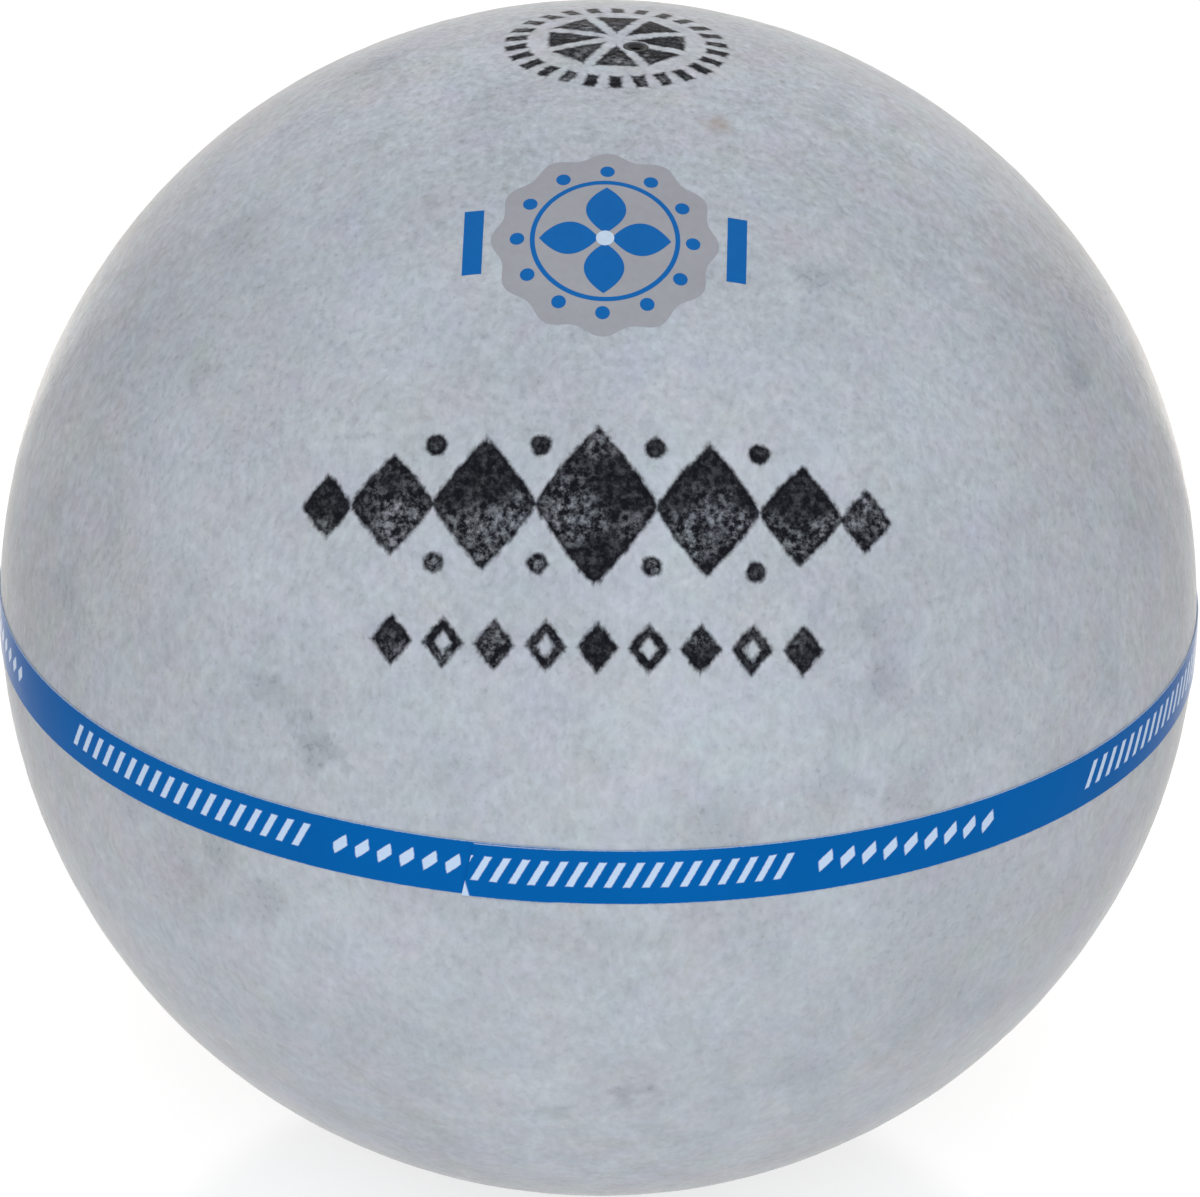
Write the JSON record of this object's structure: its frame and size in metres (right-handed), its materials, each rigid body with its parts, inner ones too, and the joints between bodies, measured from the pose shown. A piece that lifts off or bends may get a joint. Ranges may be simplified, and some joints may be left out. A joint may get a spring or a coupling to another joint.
{
  "type": "fistball",
  "caption": "Inflatable game ball with a suede skin in two lapped half-shells, a film band over their joint, a wound carcass, a bladder and a needle valve.",
  "frame": {"origin": "centre of the ball", "axes": "+Z towards the pole of the band, where the valve is; -Y towards the printed front"},
  "size_m": [0.2124, 0.2124, 0.212],
  "materials": {
    "suede": "light grey brushed suede with a short nap and worn black print",
    "band_film": "thin blue self-adhesive film with white printed marks",
    "latex": "cream dipped latex, slightly tacky",
    "thread": "off-white filament thread wound in all directions",
    "bladder_rubber": "black butyl, matt with moulding talc",
    "patch_cloth": "rubberised woven cotton",
    "valve_rubber": "black moulded rubber, satin",
    "plug_rubber": "soft black moulded rubber, satin"
  },
  "bodies": {
    "root": {"upper_cover": "suede", "lower_cover": "suede", "equator_band": "band_film", "latex_coat": "latex", "thread_winding": "thread", "bladder": "bladder_rubber", "valve_patch": "patch_cloth", "valve_housing": "valve_rubber", "valve_plug": "plug_rubber", "balance_patch": "bladder_rubber"}
  },
  "joints": []
}
